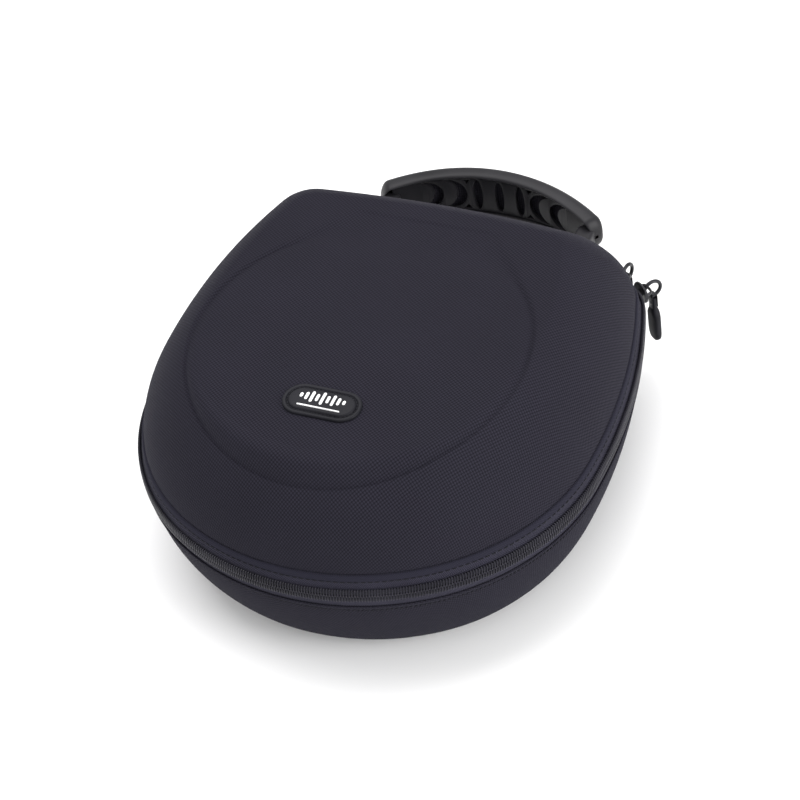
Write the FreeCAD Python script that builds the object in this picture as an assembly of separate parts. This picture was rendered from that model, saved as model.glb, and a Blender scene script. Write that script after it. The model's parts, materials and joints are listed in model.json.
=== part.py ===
import FreeCAD, Part
import math
import os
from FreeCAD import Vector

os.makedirs("parts", exist_ok=True)

# Headphone carrying case, millimetres, +Z up, origin at the bottom centre of the whole object.
# The front of the case is towards -Y, the hinge and the carrying handle are towards +Y.

# ---------------------------------------------------------------- driving dimensions
OVERALL_LENGTH = 299.0          # front of the zip to the back of the handle
ZIP_HEIGHT = 57.5               # the plane in which the lid meets the base
CHAIN_GAP = 0.6                 # each half of the chain stays this far from that plane
CHAIN_REACH = 4.0               # the chain is 8 mm wide in all
CHAIN_THICK = 1.6
TAPE_START = 0.9
TAPE_REACH = 11.2               # the sewn seams are this far above and below the zip
TAPE_INSET = 1.7                # the tape's outer face behind the chain
TAPE_THICK = 1.0
PIPING_RADIUS = 0.8             # thin cord in the sewn seams
PIPING_CLEAR = 0.3
ZIP_END_X = 71.0                # the zip gives way to the fabric hinge this far from the middle
STOP_WIDTH = 2.0                # folded tape end beside the hinge
WALL = 4.5                      # moulded foam board with its fabric
LINING_GAP = 0.15
LINING = 1.2

# plan outline at the zip: arcs given by radius and by the outward direction where each ends
FRONT_RADIUS, FRONT_END = 126.0, -60.0
CHEEK_RADIUS, CHEEK_END = 112.0, -4.0
SIDE_RADIUS, SIDE_END = 304.0, 18.5
CORNER_RADIUS = 30.0
BACK_RADIUS = 800.0
CROWN_CIRCLE = 118.0            # the outline leans towards this circle as it nears a crown

# shoulders: seam inset, how far the shoulder runs in, its fullness, how round its crown gets
LID_INSET, LID_DEPTH, LID_POWER, LID_ROUND = 4.8, 31.5, 1.47, 0.20
LID_RISE = 47.0
BASE_INSET, BASE_DEPTH, BASE_POWER, BASE_ROUND = 2.5, 24.5, 1.57, 0.12
LID_STATIONS = (0.0, 0.15, 0.33, 0.5, 0.66, 0.8, 0.9)
BASE_STATIONS = (0.0, 0.18, 0.38, 0.56, 0.73, 0.87, 0.95, 1.0)

PANEL_RADIUS = 88.0             # raised round panel on the lid
PANEL_CENTRE = 112.0            # its centre from the front of the zip
PANEL_TOP = 115.5
PANEL_FILLET = 3.0

BADGE_LENGTH, BADGE_WIDTH, BADGE_THICK = 39.5, 19.5, 1.6
BADGE_CENTRE = 66.0             # from the front of the zip
MARK_BARS = (2.6, 4.6, 6.8, 4.6, 8.0, 4.6, 6.8, 4.6, 2.6)
MARK_PITCH, MARK_BAR, MARK_THICK = 2.7, 1.4, 0.4
MARK_RAISE = 1.4                # bars above the badge's middle, line below it
MARK_LINE, MARK_LINE_DROP = 22.0, 4.6

POCKET_HEIGHT = 86.0            # the net hangs at this height when the case is shut
POCKET_EDGE = 118.0             # its free edge, from the front of the zip
NET_THICK = 0.8
EDGING_WIDTH, EDGING_THICK = 7.0, 2.0

GRIP_INNER = 96.0               # plan radius of the grip's inner face
GRIP_LAYERS = (3.9, 2.2, 4.5)   # moulded plate, webbing, moulded cover
GRIP_SPAN = 61.0                # half the length of the grip
GRIP_MIDDLE, GRIP_END = 14.5, 9.0
LAYER_GAP = 0.1
SLOT_WIDTH, SLOT_TALL, SLOT_PITCH = 5.0, 21.0, 12.0
OUTER_SLOT = 0.85               # the outer cut-outs are this much shorter
FOOT_WIDTH, FOOT_LENGTH, FOOT_TALL = 13.0, 19.5, 10.0
FOOT_FILLET = 3.0
FOOT_X = 53.5
PIVOT_GAP = 1.2                 # webbing left free on each side of the handle's fold
ANCHOR_THICK = 2.0
ANCHOR_WIDTH = 12.0
ANCHOR_SEWN = 12.0              # length of webbing before the back edge, cut to the outline
FOLD_REACH = 7.0                # both folds lie this far behind the case

SLIDER_LENGTH = 10.5
SLIDER_TALL = 9.4
PLATE_CLEAR = 1.45              # plate to chain: the lid's row swings past as it opens
PLATE_THICK = 1.3
BACK_PLATE_DEPTH = 4.3          # behind the chain's face, clear of both tapes
BACK_PLATE_THICK = 1.3
BACK_PLATE_SHORTER = 1.5
WEB_LENGTH, WEB_THICK = 5.5, 0.6
BRIDGE_LENGTH, BRIDGE_WIDTH, BRIDGE_THICK = 8.6, 2.0, 1.2
TUNNEL = 3.1
RING_RADIUS, RING_WIRE = 4.65, 0.85
RING_OUT, RING_DOWN = 2.05, 1.3
FRONT_SLIDER_TURN = 49.0        # outward direction of each slider at rest
REAR_SLIDER_TURN = 76.5
PULL_LENGTH, PULL_WIDTH, PULL_THICK = 33.0, 9.5, 4.6
PULL_NECK = 2.4                 # thickness of the pull where its eyelet sits
PULL_NECK_LENGTH = 7.5
EYELET_HOLE, EYELET_WALL = 1.5, 0.5
PULL_EDGE = 1.0                 # rubber beyond the eyelet

# ---------------------------------------------------------------- plan outline
CASE_FRONT = -OVERALL_LENGTH / 2


def cosine(angle):
    return math.cos(math.radians(angle))


def sine(angle):
    return math.sin(math.radians(angle))


def closing_direction():
    """Outward direction at which the corner gives way to the back, so that the outline closes."""
    reach = FRONT_RADIUS * cosine(FRONT_END)
    reach += CHEEK_RADIUS * (cosine(CHEEK_END) - cosine(FRONT_END))
    reach += SIDE_RADIUS * (cosine(SIDE_END) - cosine(CHEEK_END))
    reach -= CORNER_RADIUS * cosine(SIDE_END)
    return math.degrees(math.acos(reach / (BACK_RADIUS - CORNER_RADIUS)))


CORNER_END = closing_direction()
ENDS = (-90.0, FRONT_END, CHEEK_END, SIDE_END, CORNER_END, 90.0)
RADII = (FRONT_RADIUS, CHEEK_RADIUS, SIDE_RADIUS, CORNER_RADIUS, BACK_RADIUS)
CASE_LENGTH = sum(r * (sine(b) - sine(a)) for r, a, b in zip(RADII, ENDS, ENDS[1:]))
CASE_BACK = CASE_FRONT + CASE_LENGTH
CASE_MIDDLE = CASE_FRONT + CASE_LENGTH / 2

# the eight arcs of the whole outline: index into RADII and the outward directions they run through
RIGHT_ARCS = [(i, ENDS[i], ENDS[i + 1]) for i in (1, 2, 3)]
LEFT_ARCS = [(i, 180.0 - end, 180.0 - begin) for i, begin, end in reversed(RIGHT_ARCS)]
FRONT_ARC = [(0, -180.0 - FRONT_END, FRONT_END)]
BACK_ARC = [(4, CORNER_END, 180.0 - CORNER_END)]
ARCS = FRONT_ARC + RIGHT_ARCS + BACK_ARC + LEFT_ARCS


def direction(angle):
    return Vector(cosine(angle), sine(angle), 0)


def arc_centres(inset=0.0, roundness=0.0):
    """Centre and radius of each arc of the outline moved in by inset and leaned to the circle."""
    radii = [(1 - roundness) * r + roundness * CROWN_CIRCLE - inset for r in RADII]
    front = (1 - roundness) * CASE_FRONT + roundness * (CASE_MIDDLE - CROWN_CIRCLE) + inset
    centre = Vector(0, front + radii[0], 0)
    previous = 0
    out = []
    for index, begin, _ in ARCS:
        centre = centre + direction(begin) * (radii[previous] - radii[index])
        out.append((centre, radii[index]))
        previous = index
    return out


def outline(inset, height, roundness=0.0):
    """Closed wire of tangent arcs at one height."""
    lift = Vector(0, 0, height)
    edges = []
    for (centre, radius), (_, begin, end) in zip(arc_centres(inset, roundness), ARCS):
        points = [centre + direction(a) * radius + lift for a in (begin, (begin + end) / 2, end)]
        edges.append(Part.Arc(*points).toShape())
    return Part.Wire(edges)


def loft(sections):
    """Smooth solid through outlines given as (inset, height, roundness)."""
    return Part.makeLoft([outline(*section) for section in sections], True, False)


def band(low, high):
    """Ring between two outlines; each end is (height, outer inset, inner inset)."""
    outer = Part.makeLoft([outline(low[1], low[0]), outline(high[1], high[0])], True, True)
    inner = Part.makeLoft([outline(low[2], low[0]), outline(high[2], high[0])], True, True)
    return outer.cut(inner)


def half_space(low, high):
    return Part.makeBox(high.x - low.x, high.y - low.y, high.z - low.z, low)


HINGE_SPACE = half_space(Vector(-ZIP_END_X, CASE_MIDDLE, 0), Vector(ZIP_END_X, CASE_BACK + 5, 140))


# ---------------------------------------------------------------- shells and linings
def shoulder(seam, crown, shape, stations, skin):
    """Sections from a seam up or down to a crown, moved in by the skin thickness."""
    inset, depth, power, roundness = shape
    inward = math.copysign(skin, crown - seam)
    sections = []
    for t in stations:
        run = depth * (1 - (1 - t ** power) ** (1 / power))
        height = seam + (crown - inward - seam) * t
        sections.append((inset + skin + run, height, roundness * t * t))
    return sections


LID_SEAM = ZIP_HEIGHT + TAPE_REACH
BASE_SEAM = ZIP_HEIGHT - TAPE_REACH
LID_SHAPE = (LID_INSET, LID_DEPTH, LID_POWER, LID_ROUND)
BASE_SHAPE = (BASE_INSET, BASE_DEPTH, BASE_POWER, BASE_ROUND)


def lid_form(skin):
    return loft(shoulder(LID_SEAM, LID_SEAM + LID_RISE, LID_SHAPE, LID_STATIONS, skin))


def base_form(skin):
    return loft(shoulder(BASE_SEAM, 0.0, BASE_SHAPE, BASE_STATIONS, skin))


def make_lid_shell():
    """Moulded dome with the raised round panel, open at its seam."""
    foot = LID_SEAM + LID_RISE * LID_STATIONS[-2]
    at = Vector(0, CASE_FRONT + PANEL_CENTRE, foot)
    panel = Part.makeCylinder(PANEL_RADIUS, PANEL_TOP - foot, at)
    rim = [e for e in panel.Edges if e.BoundBox.ZMin > PANEL_TOP - 0.01]
    panel = panel.makeFillet(PANEL_FILLET, rim)
    return lid_form(0.0).fuse(panel).cut(lid_form(WALL)).removeSplitter()


def make_lining(form):
    return form(WALL + LINING_GAP).cut(form(WALL + LINING_GAP + LINING))


# ---------------------------------------------------------------- zip, piping and fabric hinge
def zip_half(side, seam_inset):
    """Tape and chain on one side of the zip plane, as whole rings: side is 1 above, -1 below."""
    near = ZIP_HEIGHT + side * TAPE_START
    far = ZIP_HEIGHT + side * TAPE_REACH
    tape = band((near, TAPE_INSET, TAPE_INSET + TAPE_THICK), (far, seam_inset, seam_inset + TAPE_THICK))
    low = ZIP_HEIGHT + side * CHAIN_GAP
    high = ZIP_HEIGHT + side * CHAIN_REACH
    chain = band((low, 0.0, CHAIN_THICK), (high, 0.5, CHAIN_THICK))
    return tape, chain


def piping(height, inset):
    """Round cord sewn along a seam."""
    path = outline(inset, height)
    start = path.Vertexes[0].Point
    tangent = path.Edges[0].tangentAt(path.Edges[0].FirstParameter)
    ring = Part.Wire(Part.makeCircle(PIPING_RADIUS, start, tangent))
    return path.makePipeShell([ring], True, False)


def make_zip_stops():
    """The two folded tape ends that close the zip beside the hinge."""
    blocks = []
    for side in (-1, 1):
        low = Vector(ZIP_END_X + LINING_GAP, CASE_MIDDLE, ZIP_HEIGHT - CHAIN_REACH - 1.0)
        block = half_space(low, low + Vector(STOP_WIDTH, CASE_BACK - CASE_MIDDLE, CHAIN_REACH))
        if side < 0:
            block = block.mirror(Vector(0, 0, 0), Vector(1, 0, 0))
        top = ZIP_HEIGHT - CHAIN_GAP
        skin = band((top - CHAIN_REACH - 1.0, -1.0, -0.1), (top, -1.0, -0.1))
        blocks.append(block.common(skin))
    return Part.makeCompound(blocks)


# ---------------------------------------------------------------- lid fittings
def stadium(length, width, at):
    """Flat face with round ends, long along X."""
    half = (length - width) / 2
    r = width / 2
    bottom = Part.LineSegment(at + Vector(-half, -r, 0), at + Vector(half, -r, 0)).toShape()
    right = Part.Arc(at + Vector(half, -r, 0), at + Vector(half + r, 0, 0), at + Vector(half, r, 0))
    top = Part.LineSegment(at + Vector(half, r, 0), at + Vector(-half, r, 0)).toShape()
    left = Part.Arc(at + Vector(-half, r, 0), at + Vector(-half - r, 0, 0), at + Vector(-half, -r, 0))
    return Part.Face(Part.Wire([bottom, right.toShape(), top, left.toShape()]))


BADGE_AT = Vector(0, CASE_FRONT + BADGE_CENTRE, PANEL_TOP)


def make_badge():
    return stadium(BADGE_LENGTH, BADGE_WIDTH, BADGE_AT).extrude(Vector(0, 0, BADGE_THICK))


def make_badge_mark():
    """A row of plain level bars over a thin line, standing on the badge."""
    top = BADGE_AT + Vector(0, MARK_RAISE, BADGE_THICK)
    rise = Vector(0, 0, MARK_THICK)
    marks = []
    for i, tall in enumerate(MARK_BARS):
        bar = stadium(tall, MARK_BAR, Vector(0, 0, 0))
        bar.rotate(Vector(0, 0, 0), Vector(0, 0, 1), 90)
        bar.translate(top + Vector((i - (len(MARK_BARS) - 1) / 2) * MARK_PITCH, 0, 0))
        marks.append(bar.extrude(rise))
    line = stadium(MARK_LINE, MARK_BAR / 2, top - Vector(0, MARK_LINE_DROP + MARK_RAISE, 0))
    marks.append(line.extrude(rise))
    return Part.makeCompound(marks)


def make_pocket():
    """Elastic net across the front of the lid, and the edging along its free edge."""
    room = lid_form(WALL + LINING_GAP + LINING + LINING_GAP)
    edge = CASE_FRONT + POCKET_EDGE
    low = Vector(-130, CASE_FRONT, POCKET_HEIGHT)
    net = half_space(low, Vector(130, edge, POCKET_HEIGHT + NET_THICK)).common(room)
    bottom = POCKET_HEIGHT + NET_THICK / 2 - EDGING_THICK / 2
    strip_low = Vector(-130, edge + LINING_GAP, bottom)
    strip = half_space(strip_low, Vector(130, edge + EDGING_WIDTH, bottom + EDGING_THICK))
    return net, strip.common(room)


# ---------------------------------------------------------------- handle
FOLD_Y = CASE_BACK + FOLD_REACH
GRIP_THICK = sum(GRIP_LAYERS)
GRIP_CENTRE_Y = -CASE_FRONT - GRIP_THICK - GRIP_INNER


def handle_profile():
    """Side view of the grip, tall in the middle and lower at both ends, as a slab along Y."""
    top = Part.Arc(
        Vector(-GRIP_SPAN, 0, ZIP_HEIGHT + GRIP_END),
        Vector(0, 0, ZIP_HEIGHT + GRIP_MIDDLE),
        Vector(GRIP_SPAN, 0, ZIP_HEIGHT + GRIP_END),
    )
    bottom = Part.Arc(
        Vector(GRIP_SPAN, 0, ZIP_HEIGHT - GRIP_END),
        Vector(0, 0, ZIP_HEIGHT - GRIP_MIDDLE),
        Vector(-GRIP_SPAN, 0, ZIP_HEIGHT - GRIP_END),
    )
    right = Part.LineSegment(top.EndPoint, bottom.StartPoint)
    left = Part.LineSegment(bottom.EndPoint, top.StartPoint)
    wire = Part.Wire([e.toShape() for e in (top, right, bottom, left)])
    return Part.Face(wire).extrude(Vector(0, -CASE_FRONT + 1, 0))


def grip_layer(inner, thick):
    """Slice of the curved grip between two radii."""
    axis = Vector(0, GRIP_CENTRE_Y, 0)
    tall = 2 * ZIP_HEIGHT
    ring = Part.makeCylinder(inner + thick, tall, axis).cut(Part.makeCylinder(inner, tall, axis))
    return ring.common(handle_profile())


def grip_slots():
    """Five upright cut-outs in the inner plate, the outer two shorter."""
    slots = []
    for i in (-2, -1, 0, 1, 2):
        tall = SLOT_TALL if abs(i) < 2 else SLOT_TALL * OUTER_SLOT
        ellipse = Part.Ellipse(Vector(0, 0, 0), tall / 2, SLOT_WIDTH / 2).toShape()
        face = Part.Face(Part.Wire(ellipse))
        face.rotate(Vector(0, 0, 0), Vector(0, 1, 0), 90)
        face.rotate(Vector(0, 0, 0), Vector(0, 0, 1), 90)
        slot = face.extrude(Vector(0, 30, 0))
        slot.translate(Vector(i * SLOT_PITCH, GRIP_CENTRE_Y + GRIP_INNER - 20, ZIP_HEIGHT))
        slots.append(slot)
    return slots


def make_handle():
    """Moulded inner plate, webbing core and moulded cover, with a foot at each end."""
    feet = []
    for side in (-1, 1):
        low = Vector(
            side * FOOT_X - FOOT_WIDTH / 2,
            FOLD_Y + PIVOT_GAP,
            ZIP_HEIGHT - FOOT_TALL / 2,
        )
        foot = Part.makeBox(FOOT_WIDTH, FOOT_LENGTH, FOOT_TALL, low)
        feet.append(foot.makeFillet(FOOT_FILLET, foot.Edges))
    layers = []
    inner = GRIP_INNER
    for thick in GRIP_LAYERS:
        layer = grip_layer(inner, thick - LAYER_GAP)
        for foot in feet:
            layer = layer.cut(foot)
        layers.append(max(layer.Solids, key=lambda solid: solid.Volume))
        inner += thick
    plate, webbing, cover = layers
    for slot in grip_slots():
        plate = plate.cut(slot)
    return plate, webbing, cover, Part.makeCompound(feet)


def make_anchor(side):
    """Webbing tab sewn into the back seam, ending just before the handle's fold."""
    length = FOLD_REACH - PIVOT_GAP + ANCHOR_SEWN
    low = Vector(side * FOOT_X - ANCHOR_WIDTH / 2, FOLD_Y - PIVOT_GAP - length, ZIP_HEIGHT - ANCHOR_THICK)
    tab = Part.makeBox(ANCHOR_WIDTH, length, ANCHOR_THICK - CHAIN_GAP, low)
    inside = Part.makeLoft([outline(-0.1, 0.0), outline(-0.1, 2 * ZIP_HEIGHT)], True, True)
    return tab.cut(inside)


# ---------------------------------------------------------------- sliders
def slider_frame():
    """Centre and radius of the corner arc that both sliders run on."""
    return arc_centres()[3]


def sector(centre, radii, turn, length, heights):
    """Curved plate that follows the chain: radii and heights are (low, high)."""
    inner, outer = radii
    half = math.degrees(length / 2 / outer)
    ring = Part.makeCylinder(outer, heights[1] - heights[0], Vector(0, 0, 0), Vector(0, 0, 1), 2 * half)
    core = Part.makeCylinder(inner, heights[1] - heights[0])
    plate = ring.cut(core)
    plate.rotate(Vector(0, 0, 0), Vector(0, 0, 1), turn - half)
    plate.translate(centre + Vector(0, 0, heights[0]))
    return plate


def place(shape, turn, out):
    """Move a shape made about the origin, +X outwards, to a slider: out is from the chain's face."""
    centre, radius = slider_frame()
    shape.rotate(Vector(0, 0, 0), Vector(0, 0, 1), turn)
    shape.translate(centre + direction(turn) * (radius + out) + Vector(0, 0, ZIP_HEIGHT))
    return shape


PLATE_FACE = PLATE_CLEAR + PLATE_THICK
BRIDGE_OUT = PLATE_FACE + TUNNEL + BRIDGE_THICK / 2


def make_slider_body(turn):
    """Front and back plates joined by the thin web that runs between the two rows of teeth."""
    centre, radius = slider_frame()
    tall = (ZIP_HEIGHT - SLIDER_TALL / 2, ZIP_HEIGHT + SLIDER_TALL / 2)
    thin = (ZIP_HEIGHT - WEB_THICK / 2, ZIP_HEIGHT + WEB_THICK / 2)
    front_radii = (radius + PLATE_CLEAR, radius + PLATE_FACE)
    back_radii = (radius - BACK_PLATE_DEPTH - BACK_PLATE_THICK, radius - BACK_PLATE_DEPTH)
    web_radii = (back_radii[0] + 0.2, front_radii[1] - 0.2)
    front = sector(centre, front_radii, turn, SLIDER_LENGTH, tall)
    back = sector(centre, back_radii, turn, SLIDER_LENGTH - BACK_PLATE_SHORTER, tall)
    web = sector(centre, web_radii, turn, WEB_LENGTH, thin)
    return front.fuse([back, web]).removeSplitter()


def make_bridge(turn):
    """Arch over the front plate, along the chain, that carries the ring."""
    half = BRIDGE_LENGTH / 2
    low = Vector(-BRIDGE_THICK, -half, -BRIDGE_WIDTH / 2)
    block = Part.makeBox(TUNNEL + 2 * BRIDGE_THICK, BRIDGE_LENGTH, BRIDGE_WIDTH, low)
    corners = [e for e in block.Edges if e.BoundBox.ZLength > 1 and e.BoundBox.XMin > 1]
    block = block.makeFillet(2.0, corners)
    opening_low = Vector(-2 * BRIDGE_THICK, BRIDGE_THICK - half, -BRIDGE_WIDTH)
    opening = Part.makeBox(
        TUNNEL + 2 * BRIDGE_THICK,
        BRIDGE_LENGTH - 2 * BRIDGE_THICK,
        2 * BRIDGE_WIDTH,
        opening_low,
    )
    bridge = place(block.cut(opening), turn, PLATE_FACE)
    centre, radius = slider_frame()
    return bridge.cut(Part.makeCylinder(radius + PLATE_FACE, 2 * ZIP_HEIGHT, centre))


def make_ring(turn):
    """Round wire ring hanging through the bridge, in the upright plane across the chain."""
    ring = Part.makeTorus(RING_RADIUS, RING_WIRE, Vector(RING_OUT, 0, -RING_DOWN), Vector(0, 1, 0))
    return place(ring, turn, BRIDGE_OUT)


def make_pull(turn):
    """Rubber pull with a thin neck round its eyelet, and the eyelet that the ring passes through."""
    wire_z = -RING_DOWN - RING_RADIUS
    top = wire_z + EYELET_HOLE + EYELET_WALL + PULL_EDGE
    at = Vector(RING_OUT, 0, (top + top - PULL_LENGTH) / 2)
    outline_face = stadium(PULL_LENGTH, PULL_WIDTH, Vector(0, 0, 0))
    outline_face.rotate(Vector(0, 0, 0), Vector(0, 1, 0), 90)
    outline_face.translate(at - Vector(PULL_THICK / 2, 0, 0))
    body = outline_face.extrude(Vector(PULL_THICK, 0, 0))
    thinning = (PULL_THICK - PULL_NECK) / 2
    for side in (-1, 1):
        edge = RING_OUT + side * (PULL_THICK - thinning) / 2
        corner = Vector(edge - thinning / 2, -PULL_WIDTH, top - PULL_NECK_LENGTH)
        body = body.cut(Part.makeBox(thinning, 2 * PULL_WIDTH, PULL_NECK_LENGTH, corner))
    hole_at = Vector(RING_OUT - PULL_THICK, 0, wire_z)
    along = Vector(1, 0, 0)
    body = body.cut(Part.makeCylinder(EYELET_HOLE + EYELET_WALL, 2 * PULL_THICK, hole_at, along))
    rim_at = Vector(RING_OUT - PULL_NECK / 2, 0, wire_z)
    eyelet = Part.makeCylinder(EYELET_HOLE + EYELET_WALL, PULL_NECK, rim_at, along)
    eyelet = eyelet.cut(Part.makeCylinder(EYELET_HOLE, 2 * PULL_THICK, hole_at, along))
    return place(body, turn, BRIDGE_OUT), place(eyelet, turn, BRIDGE_OUT)


# ---------------------------------------------------------------- build and write
def build():
    nodes = {
        "lid_shell": make_lid_shell(),
        "lid_lining": make_lining(lid_form),
        "base_shell": base_form(0.0).cut(base_form(WALL)),
        "base_lining": make_lining(base_form),
    }
    for name, side, inset in (("lid", 1, LID_INSET), ("base", -1, BASE_INSET)):
        tape, chain = zip_half(side, inset)
        nodes[name + "_zip_tape"] = tape.cut(HINGE_SPACE)
        nodes[name + "_zip_chain"] = chain.cut(HINGE_SPACE)
        nodes[name + "_hinge_strip"] = tape.common(HINGE_SPACE)
        nodes[name + "_piping"] = piping(ZIP_HEIGHT + side * TAPE_REACH, inset - PIPING_RADIUS - PIPING_CLEAR)
    nodes["zip_stops"] = make_zip_stops()
    nodes["badge_plate"] = make_badge()
    nodes["badge_mark"] = make_badge_mark()
    nodes["pocket_net"], nodes["pocket_edging"] = make_pocket()
    plate, webbing, cover, feet = make_handle()
    nodes["handle_grip"] = plate
    nodes["handle_webbing"] = webbing
    nodes["handle_cover"] = cover
    nodes["handle_feet"] = feet
    nodes["handle_anchor_left"] = make_anchor(-1)
    nodes["handle_anchor_right"] = make_anchor(1)
    for name, turn in (("front", FRONT_SLIDER_TURN), ("rear", REAR_SLIDER_TURN)):
        nodes[name + "_slider_body"] = make_slider_body(turn)
        nodes[name + "_slider_bridge"] = make_bridge(turn)
        nodes[name + "_slider_ring"] = make_ring(turn)
        pull, eyelet = make_pull(turn)
        nodes[name + "_pull"] = pull
        nodes[name + "_pull_eyelet"] = eyelet
    return nodes


for node, shape in build().items():
    shape.exportStep(f"parts/{node}.step")
    box = shape.BoundBox
    print(
        f"{node:22s} solids {len(shape.Solids)} valid {shape.isValid()} volume {shape.Volume:10.1f}",
        f"x {box.XMin:.1f} {box.XMax:.1f} y {box.YMin:.1f} {box.YMax:.1f} z {box.ZMin:.1f} {box.ZMax:.1f}",
    )
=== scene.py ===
import json
import math

import bmesh
import bpy
import numpy as np
from mathutils import Matrix, Vector


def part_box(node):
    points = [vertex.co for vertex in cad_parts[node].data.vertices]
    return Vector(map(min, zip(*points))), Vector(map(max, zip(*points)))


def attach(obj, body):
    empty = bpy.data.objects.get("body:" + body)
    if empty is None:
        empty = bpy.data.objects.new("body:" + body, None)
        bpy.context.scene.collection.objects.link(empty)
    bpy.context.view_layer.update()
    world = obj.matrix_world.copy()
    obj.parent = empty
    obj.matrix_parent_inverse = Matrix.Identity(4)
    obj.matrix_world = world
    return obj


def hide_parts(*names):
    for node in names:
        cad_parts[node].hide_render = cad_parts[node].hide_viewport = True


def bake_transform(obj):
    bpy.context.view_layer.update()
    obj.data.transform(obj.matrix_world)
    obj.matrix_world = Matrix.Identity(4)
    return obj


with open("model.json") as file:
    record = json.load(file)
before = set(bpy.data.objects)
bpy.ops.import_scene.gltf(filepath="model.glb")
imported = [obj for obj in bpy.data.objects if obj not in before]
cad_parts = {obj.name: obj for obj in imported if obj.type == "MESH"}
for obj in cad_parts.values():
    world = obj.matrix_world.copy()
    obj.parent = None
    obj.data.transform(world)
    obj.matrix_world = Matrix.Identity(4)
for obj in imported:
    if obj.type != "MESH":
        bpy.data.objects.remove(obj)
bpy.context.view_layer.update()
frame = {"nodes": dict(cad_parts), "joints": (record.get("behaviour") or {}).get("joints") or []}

# Headphone carrying case. Lengths here are millimetres and become metres when a mesh is made.
MM = 0.001

# ---- the frame's own measures
def box(node):
    """Low and high corner of a CAD node, in millimetres."""
    return [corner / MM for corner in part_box(node)]


lid_chain, base_chain, lid_shell = box("lid_zip_chain"), box("base_zip_chain"), box("lid_shell")
CASE_FRONT = lid_chain[0].y
ZIP = (lid_chain[0].z + base_chain[1].z) / 2
LID_SEAM, PANEL_TOP = lid_shell[0].z, lid_shell[1].z
BASE_SEAM = box("base_shell")[1].z
HANDLE_BACK = box("handle_cover")[1].y
POCKET, EDGING = box("pocket_net"), box("pocket_edging")
HINGE = next(j for j in frame["joints"] if j["name"] == "lid_hinge")
FOLD_Y = HINGE["pos_m"][1] / MM

# plan outline at the zip, as arcs: radius and the outward direction where each ends
RADII = np.array([126.0, 112.0, 304.0, 30.0, 800.0])
TURNS = (-60.0, -4.0, 18.5)
CIRCLE = 118.0


def closing_direction():
    """Outward direction at which the corner arc gives way to the back arc."""
    cosines = np.cos(np.radians([-90.0, *TURNS]))
    reach = RADII[:3] @ np.diff(cosines) - RADII[3] * cosines[3]
    return math.degrees(math.acos(reach / (RADII[4] - RADII[3])))


ENDS = np.radians([-90.0, *TURNS, closing_direction(), 90.0])
ARC_LENGTHS = RADII * np.diff(ENDS)
ARC_STARTS = np.concatenate([[0.0], np.cumsum(ARC_LENGTHS)])
HALF = ARC_STARTS[-1]
ZIP_END_X = box("base_hinge_strip")[1].x
ZIP_END = HALF - RADII[4] * math.asin(ZIP_END_X / RADII[4])
CASE_LENGTH = float(np.sum(RADII * np.diff(np.sin(ENDS))))
CASE_MIDDLE = CASE_FRONT + CASE_LENGTH / 2

# shoulders, as in the CAD: seam inset, run, fullness, roundness of the crown
LID_SHAPE = (4.8, 31.5, 1.47, 0.20)
BASE_SHAPE = (2.5, 24.5, 1.57, 0.12)
LID_CROWN = LID_SEAM + 47.0
WALL = 4.5
LINING = 1.2

PANEL_CENTRE = CASE_FRONT + 112.0
PANEL_EDGE = 84.0
PANEL_SLOPE = 2.3
PRESSED_DEPTH, PRESSED_WIDTH = 1.3, 1.0

# each half: its side of the zip, seam, crown, shoulder and the crown's middle in plan
HALVES = {
    "lid": (1, LID_SEAM, LID_CROWN, LID_SHAPE, np.array([0.0, PANEL_CENTRE])),
    "base": (-1, BASE_SEAM, 0.0, BASE_SHAPE, np.array([0.0, CASE_MIDDLE - 8.0])),
}

TAPE_START, TAPE_INSET, TAPE_THICK = 0.9, 1.7, 1.0
FLAP_REACH = 8.0                # the base's fabric laps over the tape up to this far below the zip
BINDING_REACH = 3.2             # folded strip sewn just under the lid's seam
BINDING_BULGE, BINDING_OUT, BINDING_THICK = 0.55, 0.15, 0.1
TOOTH_PITCH, TOOTH_LEAN, TOOTH_OUT = 1.35, 0.09, 0.42
# one tooth from its root to its head: height above the plane, depth, radius
TOOTH = (
    (3.4, 1.3, 0.30), (3.6, 0.9, 0.35), (3.5, 0.45, 0.37), (2.9, 0.18, 0.35),
    (1.8, 0.08, 0.35), (0.6, 0.05, 0.38), (-0.1, 0.35, 0.45), (-0.3, 0.8, 0.30),
)
CORE_RISE, CORE_HALF = 1.8, (0.55, 1.6)   # cord inside the coil: height above the plane, half sizes
STITCH_PITCH, STITCH_LENGTH, STITCH_LIFT = 3.4, 2.5, 0.32
# one stitch: how far along, how far out, radius
STITCH = ((0.0, -0.3, 0.16), (0.12, 0.6, 0.24), (0.5, 1.0, 0.27), (0.88, 0.6, 0.24), (1.0, -0.3, 0.16))

SPINE_BOW, SPINE_THICK = 2.4, 1.3

GRIP_INNER = 96.0
GRIP_THICK = 10.6
GRIP_CENTRE = HANDLE_BACK - GRIP_INNER - GRIP_THICK + 0.1
GRIP_SPAN = 61.0
GRIP_MIDDLE, GRIP_END = 14.5, 9.0          # half heights
# inner plate and webbing: distances out from the inner face, share of the grip's height
INNER_OUT, INNER_SHARE = (1.6, 4.0), 0.835
WEBBING_OUT, WEBBING_SHARE = (4.25, 6.0), 0.8

SLIDER_HALF = 5.4
PLATE_CLEAR, PLATE_THICK = 1.4, 1.5
BRIDGE_ROOT, BRIDGE_OUT = 2.4, 6.45
RING_RADIUS, RING_WIRE = 4.65, 1.0
RING_OUT, RING_DOWN = 2.05, 1.3
PLATE_HALF, PLATE_NARROWING = 4.9, 1.1
BRIDGE_HALF = (3.9, 1.05, 0.6)             # half length, width and thickness
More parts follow.
